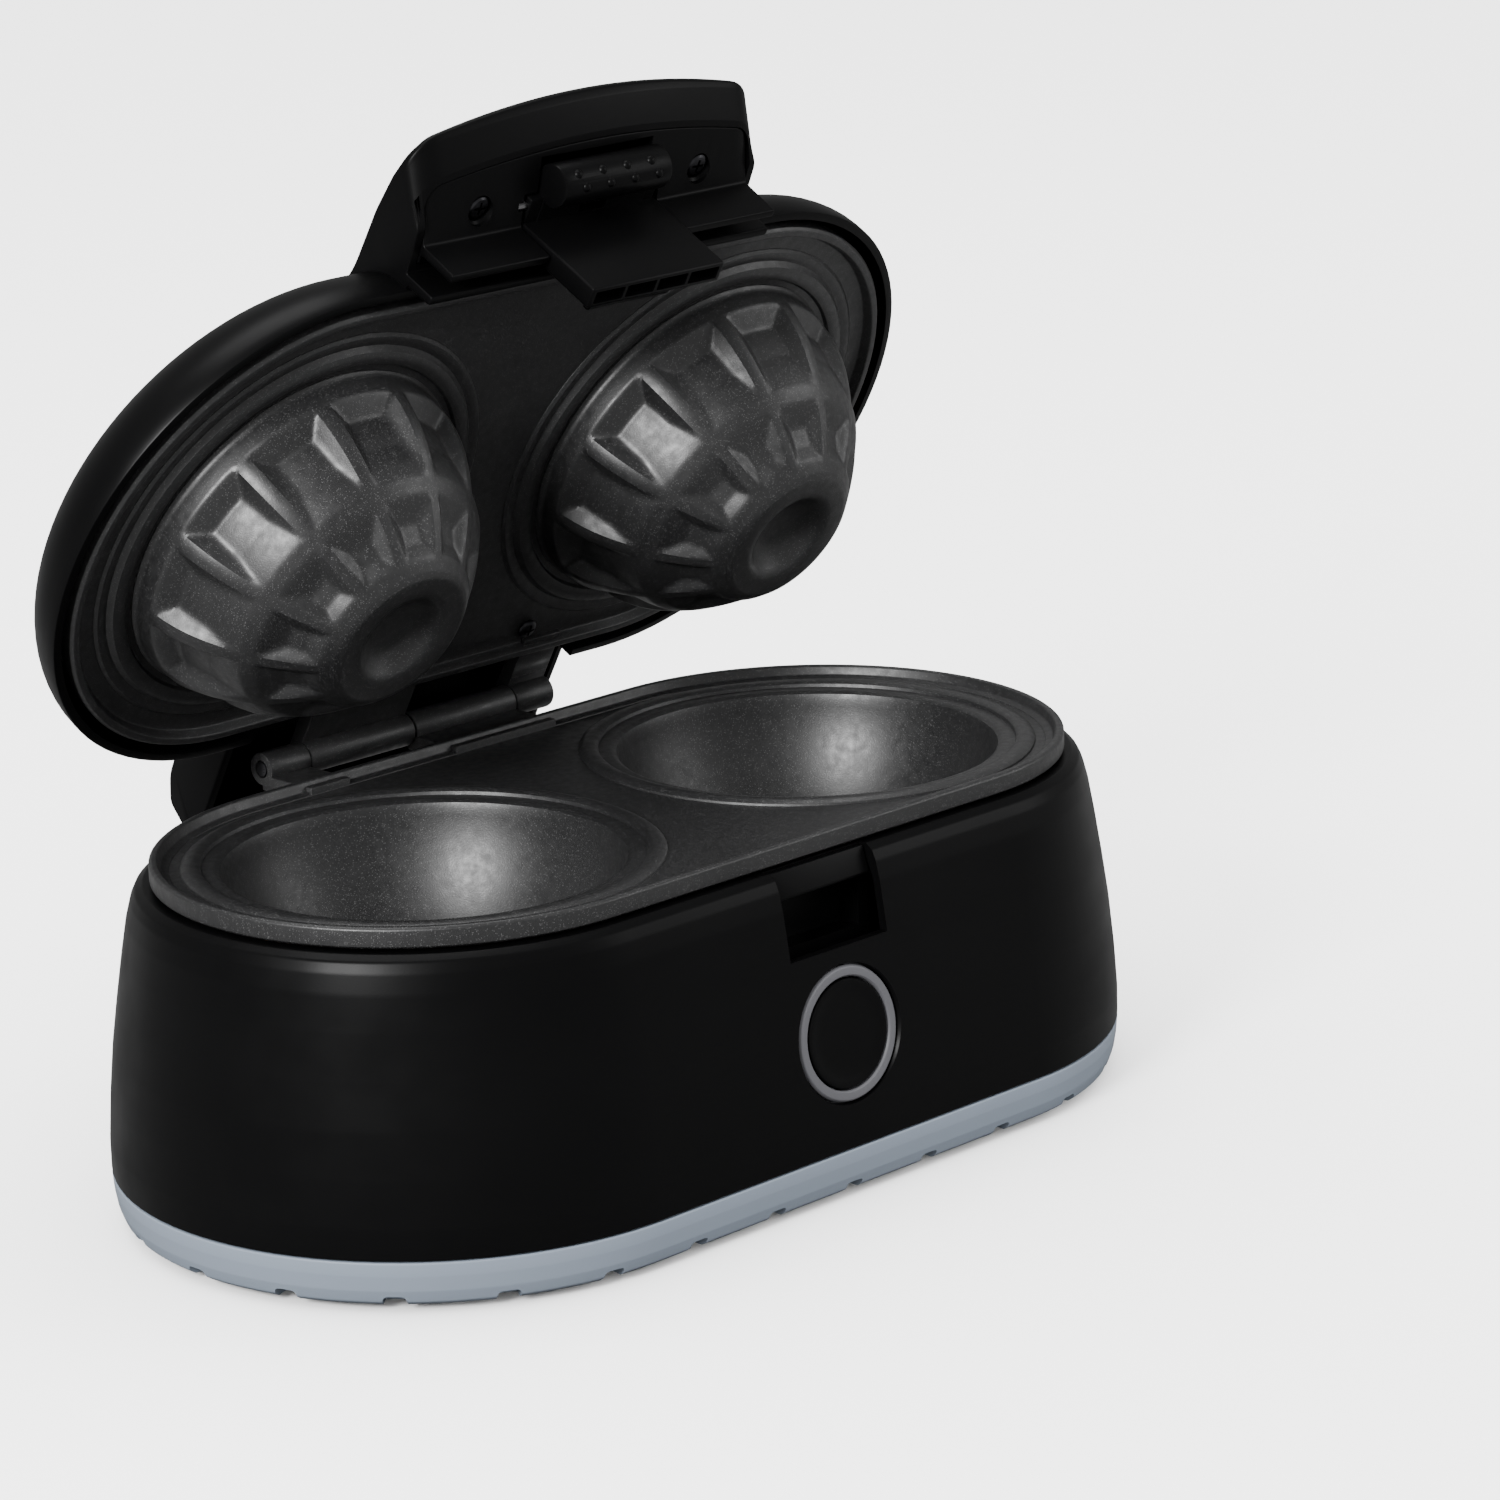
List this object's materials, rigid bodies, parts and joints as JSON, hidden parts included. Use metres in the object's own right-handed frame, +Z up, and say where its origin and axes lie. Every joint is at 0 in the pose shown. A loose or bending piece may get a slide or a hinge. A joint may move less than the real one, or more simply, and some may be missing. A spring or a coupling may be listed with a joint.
{
  "type": "waffle bowl maker",
  "caption": "Electric waffle-bowl maker: oval base with bowl moulds, hinged lid with ribbed cones, sprung handle latch and push button.",
  "frame": {"origin": "on the table, under the middle of the open object's bounding box", "axes": "+Z up, +X towards the right end as seen from the front, -Y towards the front with the button, +Y towards the hinge"},
  "size_m": [0.3032, 0.1948, 0.2758],
  "materials": {
    "base_grey": "fine satin, light blue-grey",
    "foot_rubber": "matt",
    "steel": "bright zinc plate",
    "dark_steel": "blackened steel",
    "nonstick_black": "non-stick coating with a fine sparkle on cast aluminium",
    "element_sheath": "heat-stained sheath",
    "shield_aluminium": "mill finish",
    "board_green": "solder resist",
    "ceramic_white": "matt ceramic",
    "ring_grey": "satin",
    "gland_rubber": "matt",
    "shell_black": "smooth satin"
  },
  "bodies": {
    "base": {"bottom_cover": "base_grey", "foot_front_left": "foot_rubber", "foot_front_right": "foot_rubber", "foot_back_left": "foot_rubber", "foot_back_right": "foot_rubber", "bottom_screw_front_left": "steel", "bottom_screw_front_right": "steel", "bottom_screw_back_left": "steel", "bottom_screw_back_right": "steel", "lower_housing": "shell_black", "light_ring": "ring_grey", "indicator_board": "board_green", "button_switch": "shell_black", "latch_keeper": "shell_black", "lower_mould_plate": "nonstick_black", "hinge_pin": "dark_steel", "lower_heating_element": "element_sheath", "lower_heat_shield": "shield_aluminium", "shield_screw_front": "steel", "shield_screw_back": "steel", "thermostat": "ceramic_white", "thermal_fuse": "ceramic_white", "terminal_block": "ceramic_white", "cord_gland": "gland_rubber"},
    "lid": {"lid_shell": "shell_black", "upper_mould_plate": "nonstick_black", "upper_heating_element": "element_sheath", "upper_heat_shield": "shield_aluminium", "upper_plate_screw_left": "dark_steel", "upper_plate_screw_right": "dark_steel", "handle_screw_left": "dark_steel", "handle_screw_right": "dark_steel", "handle_cover": "shell_black", "latch_pin": "steel", "latch_spring": "steel"},
    "latch": {"latch_lever": "shell_black"},
    "button": {"power_button": "shell_black"}
  },
  "joints": [
    {"name": "lid_hinge", "type": "hinge", "parent": "base", "child": "lid", "pos_m": [0, 0.0692, 0.0943], "axis": [1, 0, 0], "range_deg": [-39, 61]},
    {"name": "latch_pivot", "type": "hinge", "parent": "lid", "child": "latch", "pos_m": [0, -0.00991, 0.24939], "axis": [1, 0, 0], "range_deg": [-10, 0], "stiffness_Nm_per_rad": 0.4, "springref_deg": 11.46},
    {"name": "power_button_press", "type": "slide", "parent": "base", "child": "button", "axis": [0, 0.9934, -0.1149], "range_m": [0, 0.002], "stiffness_N_per_m": 300, "springref_m": -0.001}
  ]
}
